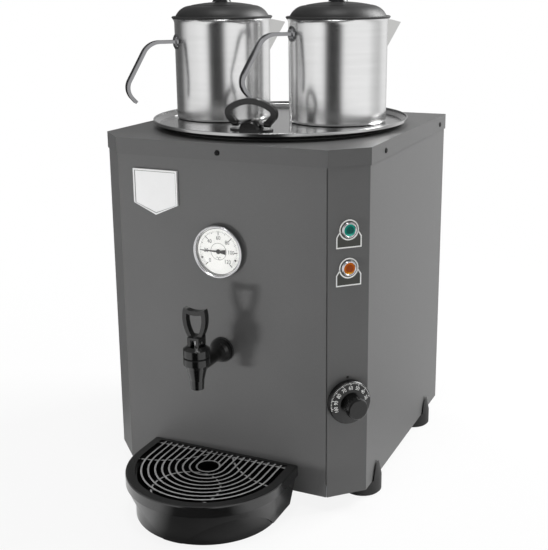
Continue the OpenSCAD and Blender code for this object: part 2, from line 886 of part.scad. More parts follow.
module lid_handle_pin() {
    color("#b9bbbc") at_bail() translate([-25, 0, bail_z]) rotate([0, 90, 0])
        cylinder(r = bail_pin_r, h = 50);
}

// Omega-shaped loop: a broad top arc, two tight corners and legs that run in to the pin
module lid_handle() {
    band = 7;
    t = 7;
    corner_r = 7;
    a = 35;
    lap_a = 1.2;
    top_arc_r = (bail_half_w - corner_r) / sin(a) + corner_r;
    corner_z = 11.9;
    top_arc_z = corner_z - (top_arc_r - corner_r) * cos(a);
    corner_x = bail_half_w - corner_r;
    leg_top = [corner_x + corner_r * sin(45), corner_z - corner_r * sin(45)];
    leg_len = leg_top[1] * sqrt(2);
    eye_x = leg_top[0] - leg_top[1];
    module loop() {
        half = band / 2;
        translate([0, top_arc_z])
            sector(top_arc_r - half, top_arc_r + half, 90 - a - lap_a, 90 + a + lap_a);
        for (s = [0, 1]) mirror([s, 0]) {
            translate([corner_x, corner_z])
                sector(corner_r - half, corner_r + half, -45, 96 - a);
            translate(leg_top) rotate(45) translate([-leg_len, -half]) square([leg_len + 0.8, band]);
        }
    }
    color("#161617") at_bail() translate([0, 0, bail_z]) difference() {
        union() {
            rotate([90, 0, 0]) translate([0, 0, -t / 2]) linear_extrude(t) loop();
            for (s = [-1, 1]) translate([s * eye_x - 3.5, 0, 0]) rotate([0, 90, 0])
                cylinder(r = 3.6, h = 7);
        }
        translate([-40, 0, 0]) rotate([0, 90, 0]) cylinder(r = bail_pin_r + running, h = 80);
    }
}

// ---------------------------------------------------------------- teapots

// A pot's own axes: z up from its base, x towards its handle
module at_pot(place) {
    translate([place[0], mid_y + place[1], plate_z]) rotate([0, 0, pot_turn]) children();
}

// Half section of the space inside a pot's outer face, grown by grow. Its rim flares in an arc.
module pot_section(foot, grow, top) {
    flare_z = pot_h - flare_h;
    difference() {
        polygon(concat([[0, foot[0][1]]], foot, [[pot_r + 0.5 + grow, flare_z],
            [rim_r + grow, flare_z], [rim_r + grow, top], [0, top]]));
        translate([pot_r + 0.5 + flare_r, flare_z]) circle(flare_r - grow, $fn = 180);
    }
}

module pot_solid(grow, top) {
    foot = [[pot_r - 2.6 + grow, 0], [pot_r - 0.7 + grow, 1], [pot_r + grow, 3.2]];
    rotate_extrude() pot_section(foot, grow, top);
}

module pot_body(place, strap_z) {
    w = pot_wall;
    inner_foot = [[pot_r - w - 2.4, w], [pot_r - w - 0.7, 1.8], [pot_r - w, 3.4]];
    color("#bfc1c2") at_pot(place) difference() {
        pot_solid(0, pot_h);
        rotate_extrude() pot_section(inner_foot, -w, pot_h + 1);
        translate([0, 0, strap_z]) rotate([0, 90, 0]) rod(2.05, pot_r - 10, pot_r + 10);
        for (row = [0:2], i = [-row : 2 : row])
            rotate([0, 0, 180 + i * 8]) translate([0, 0, pot_h - 30 + row * 8])
                rotate([0, 90, 0]) rod(2.6, pot_r - 10, pot_r + 10);
    }
}

// Beak folded from sheet: two plates that meet in a ridge and stand tangent to the pot
module pot_spout(place) {
    tip = [spout_reach, pot_h - 6];
    root = [pot_r + 0.5, pot_h - 47];
    slope = atan2(tip[1] - root[1], tip[0] - root[0]);
    len = norm(tip - root);
    half_a = 46;
    t = 1;
    arm = 66;
    module vee(depth) {
        translate([0, 0, -20]) linear_extrude(len + 40)
            polygon([[-depth, 0], [-depth - arm * cos(half_a), arm * sin(half_a)],
                [-depth - arm * cos(half_a), -arm * sin(half_a)]]);
    }
    color("#b5b7b8") at_pot(place) mirror([1, 0, 0]) difference() {
        intersection() {
            translate([root[0], 0, root[1]]) rotate([0, 90 - slope, 0]) difference() {
                vee(0);
                vee(t / sin(half_a));
            }
            rotate([90, 0, 0]) translate([0, 0, -60]) linear_extrude(120)
                polygon([[36, root[1] - 4], [root[0] - 1, root[1] - 4], [tip[0] + 5, tip[1] - 0.4],
                    [tip[0], tip[1]], [58, pot_h - 1.6], [36, pot_h - 1.6]]);
        }
        pot_solid(0.03, pot_h + 5);
    }
}

// Strap with two raised edges: out, round a bend, down, and curled in at its end
module pot_handle(place, strap_z) {
    bend_r = 23;
    tail_r = 18;
    fall = 60.5;
    curl = 131;
    start = rim_r;
    bend_x = pot_r + 22.2;
    leg = 39;
    lap = 0.1;
    knee = [bend_x + bend_r * sin(fall), strap_z - bend_r + bend_r * cos(fall)];
    foot = knee + leg * [cos(fall), -sin(fall)];
    tail_c = foot - tail_r * [sin(fall), cos(fall)];
    tail_end = tail_c + tail_r * [sin(curl), cos(curl)];
    // the strap's band between two distances outside its middle line
    module band(from, to) {
        translate([start, strap_z + from]) square([bend_x - start + lap, to - from]);
        translate([bend_x, strap_z - bend_r]) sector(bend_r + from, bend_r + to, 90 - fall, 90);
        translate(knee) rotate(-fall) translate([-lap, from]) square([leg + 2 * lap, to - from]);
        translate(tail_c) sector(tail_r + from, tail_r + to, 90 - curl, 90 - fall);
        translate(tail_end) rotate(-curl) translate([-lap, from]) square([8, to - from]);
    }
    module strap(y, w, from, to) {
        translate([0, y + w, 0]) rotate([90, 0, 0]) linear_extrude(w) band(from, to);
    }
    edge = 3;
    color("#cfd1d2") at_pot(place) {
        strap(-strap_w / 2, strap_w, -1.8, 1);
        strap(-strap_w / 2, edge, -1.8, 2.2);
        strap(strap_w / 2 - edge, edge, -1.8, 2.2);
        difference() {
            translate([0, 0, strap_z]) rotate([0, 90, 0]) {
                rod(washer_r, pot_r - 6, rim_r - 0.6);
                translate([0, 0, rim_r - 0.6]) cylinder(r1 = washer_r, r2 = 6.4, h = 1.4);
            }
            pot_solid(0.02, pot_h);
        }
        translate([0, 0, strap_z]) rotate([0, 90, 0]) rod(2, pot_r - 4, rim_r);
        translate([0, 0, strap_z]) rotate([0, 90, 0]) rod(4, pot_r - 3.5, pot_r - 1.6);
    }
}

// Domed lid with a brim, and a plug that drops into the pot's mouth
module pot_lid(place) {
    seat = pot_h + seat_gap;
    brim_r = rim_r + 0.9;
    brim_top = seat + 2.8;
    top = brim_top + lid_dome;
    plug_r = pot_r - 2.2;
    skin = 1.2;
    dome_r = 200;
    shoulder_r = 22;
    shoulder_x = pot_r - 21.2;
    shoulder_z = top - 26.1;
    // Half section under the dome and its rounded shoulder, moved in by inset
    module form(inset, low) {
        intersection() {
            translate([0, top - dome_r]) circle(dome_r - inset, $fn = 360);
            union() {
                translate([0, low]) square([shoulder_x, 60]);
                translate([shoulder_x, shoulder_z]) circle(shoulder_r - inset, $fn = 180);
            }
            translate([0, low]) square([pot_r + 10, 60]);
        }
    }
    color("#232324") at_pot(place) difference() {
        rotate_extrude() difference() {
            union() {
                form(0, seat + 1);
                polygon([[0, seat - 6], [plug_r, seat - 6], [plug_r, seat], [brim_r - 1, seat],
                    [brim_r, seat + 1], [brim_r, seat + 2], [brim_r - 1, brim_top], [0, brim_top]]);
            }
            translate([0, seat - 7]) square([plug_r - 1, brim_top - seat + 7]);
            form(skin, brim_top);
        }
        rod(2.05, top - 5, top + 5);
    }
}

// Turned knob: wide foot, narrow waist, mushroom top
module pot_knob(place) {
    foot = pot_h + seat_gap + 2.8 + lid_dome;
    color("#121213") at_pot(place) {
        translate([0, 0, foot]) rotate_extrude() polygon(concat(
            [[0, 0], [12, 0]],
            [for (i = [1:7]) [11.2 - 1.2 * sin(i * 22.5), i * 2.3]],
            [[12.2, knob_h - 11.5], [14.6, knob_h - 8], [15.8, knob_h - 5.4], [16, knob_h - 4],
             [15.4, knob_h - 2], [13, knob_h - 0.6], [9, knob_h], [0, knob_h]]));
        rod(2, foot - 4, foot + 1);
    }
}

module pot_a_body() { pot_body(pot_a_at, pot_h - strap_drop_a); }
module pot_a_spout() { pot_spout(pot_a_at); }
module pot_a_handle() { pot_handle(pot_a_at, pot_h - strap_drop_a); }
module pot_a_lid() { pot_lid(pot_a_at); }
module pot_a_knob() { pot_knob(pot_a_at); }
module pot_b_body() { pot_body(pot_b_at, pot_h - strap_drop_b); }
module pot_b_spout() { pot_spout(pot_b_at); }
module pot_b_handle() { pot_handle(pot_b_at, pot_h - strap_drop_b); }
module pot_b_lid() { pot_lid(pot_b_at); }
module pot_b_knob() { pot_knob(pot_b_at); }

// ---------------------------------------------------------------- drip tray

tray_y = front_y - tray_gap - tray_straight;
rim_w = 10;
band_h = 12.5;
ledge_z = tray_h - 5.5;
ledge_w = 2.5;
basin_z = 8.5;
seat_r = tray_r - rim_w - 0.5;
back_wall = 7;

// Plan of the tray's outline or of anything parallel to it
module tray_plan(r, back) {
    intersection() {
        union() {
            circle(r, $fn = 180);
            translate([-r, 0]) square([2 * r, back + 5]);
        }
        translate([-2 * r, -2 * r]) square([4 * r, 2 * r + back]);
    }
}

// Half section through the tray's wall and floor
function tray_side() = [
    [tray_r - 10, 0], [tray_r - 2.4, tray_h - band_h - 1], [tray_r - 1.4, tray_h - band_h - 1],
    [tray_r - 1.4, tray_h - band_h], [tray_r, tray_h - band_h], [tray_r, tray_h - 1.6],
    [tray_r - 0.5, tray_h - 0.5], [tray_r - 1.6, tray_h]
];

function tray_basin() = [
    [seat_r, tray_h], [seat_r, ledge_z], [seat_r - ledge_w, ledge_z],
    [seat_r - ledge_w - 1.6, basin_z + 2], [seat_r - ledge_w - 3.6, basin_z]
];

module drip_tray() {
    arch_at = 47;
    arch_r = 62;
    arch_drop = 31.8;
    under = 6;
    foot_in = tray_r - 17;
    section = concat([[0, under], [foot_in - 2, under], [foot_in, 0]], tray_side(), tray_basin(),
        [[0, basin_z]]);
    outline = concat([[0, under], [foot_in - 2, under], [foot_in, 0]], tray_side(), [[0, tray_h]]);
    module both(points) {
        polygon(points);
        mirror([1, 0]) polygon(points);
    }
    color("#0d0d0e") translate([0, tray_y, 0]) difference() {
        union() {
            rotate([0, 0, 180]) rotate_extrude(angle = 180) polygon(section);
            rotate([90, 0, 180]) linear_extrude(tray_straight - back_wall) both(section);
            translate([0, tray_straight - back_wall, 0]) rotate([90, 0, 180])
                linear_extrude(back_wall) both(outline);
        }
        translate([-seat_r, tray_straight - back_wall - 1, ledge_z])
            cube([2 * seat_r, 1 + ledge_w, tray_h]);
        for (s = [-1, 1]) rotate([0, 0, s * arch_at]) difference() {
            translate([0, -60, -arch_drop]) rotate([90, 0, 0]) cylinder(r = arch_r, h = 60, $fn = 180);
            rod(tray_r - 10.6, -100, 60);
        }
    }
}

// Concentric U-shaped bars behind a central ring, carried by curved ribs and a rear bar
module drip_grille() {
    play = 0.5;
    ring_r = 13.3;
    bars = 8;
    top = tray_h - 0.8;
    rear = tray_straight - back_wall + ledge_w - play;
    rear_w = 2.6;
    module u_bar(r) {
        difference() {
            tray_plan(r + bar_w / 2, rear);
            tray_plan(r - bar_w / 2, rear + 1);
        }
    }
    module rib(x, y, r) {
        translate([x, y]) difference() {
            circle(r + 1, $fn = 180);
            circle(r - 1, $fn = 180);
        }
    }
    color("#0b0b0c") translate([0, tray_y, 0]) {
        translate([0, 0, ledge_z + 1]) linear_extrude(top - ledge_z - 1) {
            for (i = [1:bars]) u_bar(ring_r + i * bar_pitch);
            difference() {
                circle(ring_r + bar_w / 2);
                circle(ring_r - bar_w / 2);
            }
            for (i = [-2:2]) difference() {
                translate([i * 0.498 * ring_r - bar_w / 2, 0]) square([bar_w, rear]);
                circle(ring_r - 0.2);
            }
        }
        translate([0, 0, ledge_z]) linear_extrude(2.4) difference() {
            intersection() {
                union() {
                    rib(0, -52, 38.2);
                    for (s = [-1, 1]) rib(s * 95, 81, 93.3);
                    translate([-seat_r, rear - rear_w]) square([2 * seat_r, rear_w]);
                }
                tray_plan(seat_r - play, rear);
            }
            circle(ring_r - 0.2);
        }
    }
}

// ---------------------------------------------------------------- output

front_panel();
control_panel();
rear_panel();
top_cover();
cover_screws();
base_plate();
foot_front_left();
foot_front_right();
foot_rear_left();
foot_rear_right();
foot_screws();
tank();
tank_bushes();
heating_element();
element_gasket();
element_flange();
element_bolts();
safety_cutout();
terminal_block();
cable_gland();
thermostat_body();
thermostat_bulb();
thermostat_shaft();
thermostat_knob();
knob_index();
lamp_green_label();
lamp_green_bezel();
lamp_green_lens();
lamp_amber_label();
lamp_amber_bezel();
lamp_amber_lens();
badge();
thermometer_case();
thermometer_dial();
thermometer_glass();
thermometer_needle();
tap_washer();
tap_body();
tap_bonnet();
tap_stem();
tap_cup();
tap_spring();
tap_pin();
tap_handle();
lid_plate();
lid_handle_base();
lid_handle_pin();
lid_handle();
pot_a_body();
pot_a_spout();
pot_a_handle();
pot_a_lid();
pot_a_knob();
pot_b_body();
pot_b_spout();
pot_b_handle();
pot_b_lid();
pot_b_knob();
drip_tray();
drip_grille();
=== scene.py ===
import json
import math

import bmesh
import bpy
from mathutils import Matrix, Vector


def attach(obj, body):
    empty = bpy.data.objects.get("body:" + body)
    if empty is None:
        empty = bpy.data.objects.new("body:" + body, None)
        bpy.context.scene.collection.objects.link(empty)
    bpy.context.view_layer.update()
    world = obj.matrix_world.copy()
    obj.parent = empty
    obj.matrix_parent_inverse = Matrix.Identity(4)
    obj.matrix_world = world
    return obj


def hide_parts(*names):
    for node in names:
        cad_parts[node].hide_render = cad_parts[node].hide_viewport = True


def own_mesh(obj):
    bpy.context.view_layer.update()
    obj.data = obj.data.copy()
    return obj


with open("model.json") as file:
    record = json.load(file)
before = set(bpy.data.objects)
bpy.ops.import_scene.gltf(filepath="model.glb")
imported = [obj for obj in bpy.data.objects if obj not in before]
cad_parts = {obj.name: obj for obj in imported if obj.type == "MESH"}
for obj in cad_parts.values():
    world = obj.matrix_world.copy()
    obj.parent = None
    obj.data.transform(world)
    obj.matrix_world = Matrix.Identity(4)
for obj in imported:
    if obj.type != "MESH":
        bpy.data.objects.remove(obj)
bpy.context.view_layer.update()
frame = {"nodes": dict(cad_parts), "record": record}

MM = 0.001

# Places on the urn, in millimetres, as the construction has them
MID_Y = 59.75
FRONT_Y = MID_Y - 165
TANK_Y = MID_Y + 3.4
CHAMFER = Vector((147.5, FRONT_Y + 17.5, 0))
DIAL_Z = 296
KNOB_Z = 134
GREEN_Z = 330.4
AMBER_Z = 287.8
KNOB_RIM_R, KNOB_RIM_UP = 24.2, 8.6
KNOB_NECK_R, KNOB_NECK_UP = 13.8, 12
BADGE_TOP = (-80, 383.7)
BADGE_OUT = 2.2
BADGE_W, BADGE_H, BADGE_SIDE = 57.5, 52.4, 39.7
MARK_THICK = 0.03
FIGURE_THICK = 0.02
POTS = {"pot_a": (-83, 12 + MID_Y), "pot_b": (67, 26 + MID_Y)}


# ---------------------------------------------------------------- camera


def place_camera():
    """Stands in front, to the right and above, and looks down at the urn."""
    camera = bpy.data.objects.new("camera", bpy.data.cameras.new("camera"))
    bpy.context.scene.collection.objects.link(camera)
    camera.data.sensor_width = 36
    camera.data.lens = 64.35
    camera.data.shift_x = 0.0
    camera.data.shift_y = -0.07
    camera.data.clip_end = 50
    camera.location = Vector((501.7, -1049.0, 584.1)) * MM
    yaw, pitch, roll = (math.radians(a) for a in (24.72, 14.3, -0.57))
    turn = Matrix.Rotation(yaw, 4, "Z") @ Matrix.Rotation(math.pi / 2 - pitch, 4, "X")
    camera.rotation_euler = (turn @ Matrix.Rotation(roll, 4, "Z")).to_euler()
    bpy.context.scene.camera = camera


place_camera()


# ---------------------------------------------------------------- materials


class Value:
    """One socket of a material, with arithmetic. Numbers go in as they are."""

    def __init__(self, paint, socket):
        self.paint = paint
        self.socket = socket

    def math(self, operation, *others):
        inputs = dict(enumerate((self, *others)))
        return self.paint.node("ShaderNodeMath", {"operation": operation}, inputs)

    def __add__(self, other):
        return self.math("ADD", other)

    __radd__ = __add__

    def __sub__(self, other):
        return self.math("SUBTRACT", other)

    def __rsub__(self, other):
        return self.paint.value(other).math("SUBTRACT", self)

    def __mul__(self, other):
        return self.math("MULTIPLY", other)

    __rmul__ = __mul__

    def __truediv__(self, other):
        return self.math("DIVIDE", other)

    def step(self, low, high):
        """0 below low, 1 above high, smooth between them."""
        return self.paint.node(
            "ShaderNodeMapRange",
            {"interpolation_type": "SMOOTHSTEP"},
            {"Value": self, "From Min": low, "From Max": high},
        )


class Paint:
    """A material under construction, or the studio's surroundings."""

    def __init__(self, name, kind="Material"):
        shelf = bpy.data.worlds if kind == "World" else bpy.data.materials
        self.material = shelf.new(name)
        self.material.use_nodes = True
        self.tree = self.material.node_tree
        self.tree.nodes.clear()
        self.output = self.tree.nodes.new("ShaderNodeOutput" + kind)

    def node(self, kind, settings=None, inputs=None, out=0):
        """Makes a node, sets it up, then fills its sockets, and returns one of its outputs."""
        made = self.tree.nodes.new(kind)
        for name, value in (settings or {}).items():
            if name == "stops":
                ramp = made.color_ramp
                while len(ramp.elements) < len(value):
                    ramp.elements.new(0.5)
                for element, (place, colour) in zip(ramp.elements, value):
                    element.position = place
                    element.color = (*colour, 1)
            else:
                setattr(made, name, value)
        for name, value in (inputs or {}).items():
            self.feed(made.inputs[name], value)
        return Value(self, made.outputs[out])

    def feed(self, socket, value):
        if isinstance(value, Value):
            self.tree.links.new(value.socket, socket)
        elif isinstance(value, (tuple, list)) and len(value) == 3 and socket.type == "RGBA":
            socket.default_value = (*value, 1)
        else:
            socket.default_value = value

    def value(self, number):
        return self.node("ShaderNodeMath", {"operation": "ADD"}, {0: number, 1: 0.0})

    def place(self):
        """Where the surface is, in metres, in the urn's own frame."""
        return self.node("ShaderNodeTexCoord", out=3)

    def axes(self, vector):
        split = self.tree.nodes.new("ShaderNodeSeparateXYZ")
        self.feed(split.inputs[0], vector)
        return [Value(self, socket) for socket in split.outputs]

    def rays(self, *kinds):
        """1 for rays of any of these kinds, else 0."""
        path = self.tree.nodes.new("ShaderNodeLightPath")
        first, *rest = (Value(self, path.outputs[f"Is {kind} Ray"]) for kind in kinds)
        for other in rest:
            first = first.math("MAXIMUM", other)
        return first

    def vector(self, x, y, z):
        return self.node("ShaderNodeCombineXYZ", None, {0: x, 1: y, 2: z})

    def noise(self, vector, scale, detail=2.0, rough=0.5, distortion=0.0):
        return self.node(
            "ShaderNodeTexNoise",
            None,
            {
                "Vector": vector,
                "Scale": scale,
                "Detail": detail,
                "Roughness": rough,
                "Distortion": distortion,
            },
        )

    def specks(self, vector, scale):
        return self.node("ShaderNodeTexVoronoi", None, {"Vector": vector, "Scale": scale})

    def mix(self, factor, first, second):
        made = self.tree.nodes.new("ShaderNodeMix")
        made.data_type = "RGBA"
        self.feed(made.inputs[0], factor)
        self.feed(made.inputs[6], first)
        self.feed(made.inputs[7], second)
        return Value(self, made.outputs[2])

    def bump(self, height, strength, distance):
        inputs = {"Height": height, "Strength": strength, "Distance": distance}
        return self.node("ShaderNodeBump", None, inputs)

    def surface(self, **sockets):
        """The finish itself. A socket's name is written with _ for each space."""
        names = {name.replace("_", " "): value for name, value in sockets.items()}
        made = self.node("ShaderNodeBsdfPrincipled", None, names)
        self.feed(self.output.inputs["Surface"], made)
        return self.material


def srgb(*levels):
    """A colour from its levels on screen, 0 to 255."""
    if len(levels) == 1:
        levels = levels * 3
    parts = [v / 255 for v in levels]
    return tuple(c / 12.92 if c <= 0.04045 else ((c + 0.055) / 1.055) ** 2.4 for c in parts)


def powder_coat(name, level):
    """Satin powder coat: fine orange peel, faint cloudiness, and a few dust nibs."""
    p = Paint(name)
    at = p.place()
    cloud = p.noise(at, 9, 3)
    peel = p.noise(at, 900, 2)
    fleck = p.noise(at, 2600, 1).step(0.62, 0.75)
    nib = 1 - p.specks(at, 55).step(0.012, 0.03)
    base = p.mix(cloud, srgb(level - 5), srgb(level + 5))
    shade = p.mix(fleck * 0.35, base, srgb(level + 40))
    tone = p.mix(nib * 0.3, shade, srgb(level - 25))
    rough = 0.36 + cloud * 0.06 + peel * 0.08
    relief = p.bump(peel + nib * 0.6, 0.12, 0.00008)
    return p.surface(Base_Color=tone, Roughness=rough, Specular_IOR_Level=0.5, Normal=relief)


def moulded(name, level, rough, grain=700, relief=0.1, wear=0.2, coat=0.0):
    """Moulded plastic or rubber: fine grain, handling smears and faint flow marks."""
    p = Paint(name)
    at = p.place()
    smear = p.noise(at, 26, 4, 0.6, 0.4)
    fine = p.noise(at, grain, 3)
    flow = p.noise(at, 7, 2, 0.5, 1.2)
    tone = p.mix(smear * 0.6 + flow * 0.4, srgb(level * 0.75), srgb(level * 1.25))
    dull = rough + smear * wear * rough + fine * 0.05
    return p.surface(
        Base_Color=tone,
        Roughness=dull,
        Coat_Weight=coat,
        Coat_Roughness=0.08,
        Normal=p.bump(fine, relief, 0.00006),
    )


def grille_bars():
    """Black enamelled bars, with a painted highlight along their rounded tops."""
    p = Paint("grille_black")
    at = p.place()
    upward = p.axes(p.node("ShaderNodeTexCoord", out=1))[2]
    fine = p.noise(at, 500, 3)
    patch = p.noise(at, 60, 3, 0.6)
    # Painted highlight: where the bars' surface faces up, the colour goes near white, standing in
    # for a lamp's gleam on the rounded tops.
    crest_highlight = upward.step(0.9, 0.995) * (0.55 + patch * 0.5)
    return p.surface(
        Base_Color=p.mix(crest_highlight, srgb(20), srgb(200)),
        Roughness=0.2 + fine * 0.06,
        Coat_Weight=1.0,
        Coat_Roughness=0.08,
        Normal=p.bump(fine, 0.05, 0.00006),
    )


def brushed_round(name, centre, level, rough=0.17, lines=2600):
    """Stainless steel brushed round an upright axis."""
    p = Paint(name)
    x, y, z = p.axes(p.place())
    dx = x - centre[0] * MM
    dy = y - centre[1] * MM
    angle = dy.math("ARCTAN2", dx)
    radius = (dx * dx + dy * dy).math("SQRT")
    strokes = p.noise(p.vector(angle * 0.35, radius * lines * 0.4, z * lines), 1.0, 4, 0.6)
    broad = p.noise(p.vector(angle * 0.9, radius * 30, z * 160), 1.0, 3)
    smear = p.noise(p.place(), 22, 3, 0.6, 0.6)
    tone = p.mix(strokes * 0.55 + broad * 0.45, srgb(level - 16), srgb(level + 8))
    dull = rough + strokes * 0.07 + smear * 0.05
    return p.surface(
        Base_Color=tone,
        Metallic=1.0,
        Roughness=dull,
        Normal=p.bump(strokes * 0.7 + broad * 0.3, 0.1, 0.00004),
    )


def bright_metal(name, colour, rough, scratch=0.12, metallic=1.0):
    """Polished or plated metal with fine wipe marks and dulled patches."""
    p = Paint(name)
    at = p.place()
    x, y, z = p.axes(at)
    wipe = p.noise(p.vector(x * 60 + y * 900, y * 60 - x * 900, z * 700), 1.0, 3, 0.6)
    patch = p.noise(at, 18, 3, 0.5, 0.5)
    dark = tuple(c * 0.86 for c in colour)
    tone = p.mix(patch * 0.5 + wipe * 0.5, dark, colour)
    dull = rough + patch * 0.07 + wipe * 0.05
    return p.surface(
        Base_Color=tone,
        Metallic=metallic,
        Roughness=dull,
        Normal=p.bump(wipe, scratch, 0.00003),
    )


def plate_steel():
    """Mirror-bright plate: spun rings so fine that they only soften the reflections."""
    p = Paint("plate_steel")
    x, y, z = p.axes(p.place())
    dy = y - TANK_Y * MM
    radius = (x * x + dy * dy).math("SQRT")
    rings = p.noise(p.vector(radius * 2200, z * 40, 0.0), 1.0, 3, 0.6)
    spots = 1 - p.specks(p.place(), 70).step(0.02, 0.05)
    haze = p.noise(p.place(), 14, 4, 0.6, 0.8)
    tone = p.mix(haze, srgb(170), srgb(196))
    dried = p.mix(spots * 0.12, tone, srgb(140))
    dull = 0.10 + haze * 0.07 + rings * 0.04
    return p.surface(
        Base_Color=dried, Metallic=1.0, Roughness=dull, Normal=p.bump(rings, 0.05, 0.00003)
    )


def clear_glass():
    """Flat glass over the dial: clear face on, brighter at a slant, with faint smudges."""
    p = Paint("clear_glass")
    smudge = p.noise(p.place(), 60, 4)
    solid = p.node(
        "ShaderNodeBsdfPrincipled",
        None,
        {
            "Base Color": (1.0, 1.0, 1.0),
            "Roughness": 0.04 + smudge * 0.05,
            "Specular IOR Level": 0.6,
        },
    )
    open_air = p.node("ShaderNodeBsdfTransparent")
    edge = p.node("ShaderNodeFresnel", None, {"IOR": 1.3})
    shown = p.node("ShaderNodeMixShader", None, {0: edge * 0.5, 1: open_air, 2: solid})
    p.feed(p.output.inputs["Surface"], shown)
    return p.material


def lamp_lens(name, centre_z, deep, bright, glint):
    """Ribbed translucent lens: darker core, lighter rim, a painted glint over its lower part, and
    rings pressed in its dome.
    """
    p = Paint(name)
    x, y, z = p.axes(p.place())
    along = (x - CHAMFER.x * MM + (y - CHAMFER.y * MM)) * 0.7071
    up = z - centre_z * MM
    radius = (along * along + up * up).math("SQRT")
    rim = radius.step(0.0036, 0.0062)
    low = 1 - up.step(-0.0062, -0.003)
    ring = (radius * 5200).math("SINE")
    cell = p.specks(p.place(), 420)
    tone = p.mix(rim, srgb(*deep), srgb(*bright))
    # Painted glint: the lens's lower part is mixed towards the glint colour.
    lit = p.mix(low * 0.75, tone, srgb(*glint))
    mottled = p.mix(cell * 0.5, lit, srgb(*deep))
    return p.surface(
        Base_Color=mottled,
        Roughness=0.2 + cell * 0.1,
        Specular_IOR_Level=0.12,
        Coat_Weight=0.06,
        Coat_Roughness=0.05,
        Emission_Color=mottled,
        Emission_Strength=0.3,
        Normal=p.bump(ring * 0.3 + cell, 0.25, 0.0003),
    )


def printed(name, ground, rough=0.45):
    """Printed surface: matt ink with a faint tooth."""
    p = Paint(name)
    at = p.place()
    tooth = p.noise(at, 1500, 2)
    uneven = p.noise(at, 120, 3)
    tone = p.mix(uneven, tuple(c * 0.93 for c in ground), ground)
    return p.surface(
        Base_Color=tone, Roughness=rough + tooth * 0.1, Normal=p.bump(tooth, 0.06, 0.00003)
    )


def tinted_sheath():
    """Heating tube: steel gone straw, brown and blue with heat, with scale on it."""
    p = Paint("element_sheath")
    at = p.place()
    heat = p.noise(at, 34, 4, 0.6, 0.5)
    colour = p.node(
        "ShaderNodeValToRGB",
        {"stops": [(0.25, srgb(92, 84, 78)), (0.5, srgb(140, 112, 78)), (0.75, srgb(84, 86, 104))]},
        {"Fac": heat},
    )
    scale = p.noise(at, 420, 3).step(0.55, 0.75)
    tone = p.mix(scale * 0.7, colour, srgb(188, 184, 172))
    return p.surface(
        Base_Color=tone,
        Metallic=0.8,
        Roughness=0.35 + scale * 0.3,
        Normal=p.bump(scale + heat, 0.3, 0.0002),
    )


FINISH = {
    "casing_paint": powder_coat("casing_paint", 88),
    "cover_paint": powder_coat("cover_paint", 84),
    "screw_black": bright_metal("screw_black", srgb(48), 0.35),
    "zinc": bright_metal("zinc", srgb(188, 190, 194), 0.3),
    "rubber_black": moulded("rubber_black", 34, 0.55, 1200, 0.3),
    "steel_satin": bright_metal("steel_satin", srgb(206, 206, 204), 0.24),
    "steel_polished": bright_metal("steel_polished", srgb(150, 150, 152), 0.12, 0.05),
    "plate_steel": plate_steel(),
    "element_sheath": tinted_sheath(),
    "gasket_red": moulded("gasket_red", 120, 0.6, 600, 0.2),
    "brass": bright_metal("brass", srgb(206, 172, 106), 0.3),
    "phenolic": moulded("phenolic", 16, 0.2, 500, 0.05),
    "ceramic": printed("ceramic", srgb(226, 220, 204), 0.3),
    "copper": bright_metal("copper", srgb(206, 140, 96), 0.28),
    "gloss_black": moulded("gloss_black", 9, 0.2, 500, 0.05),
    "tap_black": moulded("tap_black", 7, 0.08, 400, 0.03, 0.3, 0.3),
    "label_print": printed("label_print", srgb(52, 53, 48), 0.4),
    "lamp_bezel": bright_metal("lamp_bezel", srgb(214, 214, 216), 0.16, 0.05),
    "lens_green": lamp_lens("lens_green", GREEN_Z, (2, 74, 68), (18, 158, 138), (90, 222, 196)),
    "lens_amber": lamp_lens("lens_amber", AMBER_Z, (128, 54, 4), (206, 108, 12), (250, 196, 30)),
    "badge_metal": bright_metal("badge_metal", srgb(240, 240, 240), 0.34, 0.08, 0.25),
    "dial_white": printed("dial_white", srgb(246, 246, 243)),
    "dial_case": bright_metal("dial_case", srgb(214, 214, 216), 0.2, 0.05),
    "glass": clear_glass(),
    "needle_black": moulded("needle_black", 60, 0.4),
    "cup_white": moulded("cup_white", 196, 0.5),
    "stem_white": moulded("stem_white", 190, 0.4),
    "lid_black": moulded("lid_black", 28, 0.42, 900, 0.14),
    "tray_black": moulded("tray_black", 18, 0.1, 800, 0.03, 0.3, 0.7),
    "grille_black": grille_bars(),
    "ink_black": printed("ink_black", srgb(40, 40, 42)),
    "ink_white": printed("ink_white", srgb(246, 246, 244)),
    # Grey ink for the dial's rings; the same finish paints the shade along the badge's border.
    "grey_ink_and_shade": printed("grey_ink_and_shade", srgb(96, 96, 96)),
}
for pot, centre in POTS.items():
    FINISH[pot] = brushed_round(pot + "_steel", centre, 232)
FINISH["tank"] = brushed_round("tank_steel", (0, TANK_Y), 196)

BY_NODE = {
    "lid_plate": "plate_steel",
    "drip_grille": "grille_black",
    "tank": "tank",
    "pot_a_body": "pot_a",
    "pot_b_body": "pot_b",
}


def dress(obj, finish):
    obj.data.materials.clear()
    obj.data.materials.append(FINISH[finish])


for part in frame["record"]["subparts"]:
    name = part["node"]
    dress(frame["nodes"][name], BY_NODE.get(name, part["material_slot"]))


# Rounding of moulded and rolled edges, in millimetres
EDGES = {
    "drip_grille": 0.9,
    "drip_tray": 0.6,
    "badge": 0.25,
    "tap_handle": 0.6,
    "lid_handle": 0.7,
}
for name, width in EDGES.items():
    edge = frame["nodes"][name].modifiers.new("rounded edges", "BEVEL")
    edge.width = width * MM
    edge.segments = 3
    edge.limit_method = "ANGLE"
    edge.angle_limit = math.radians(35)
    edge.use_clamp_overlap = False
    edge.harden_normals = True


# ---------------------------------------------------------------- spring and marks


def panel_frame(origin, right, up):
    """A flat face's own axes: x to the right, y up, z out of the face."""
    x = Vector(right).normalized()
    y = Vector(up).normalized()
    z = x.cross(y)
    turn = Matrix((x, y, z)).transposed().to_4x4()
    return Matrix.Translation(Vector(origin) * MM) @ turn


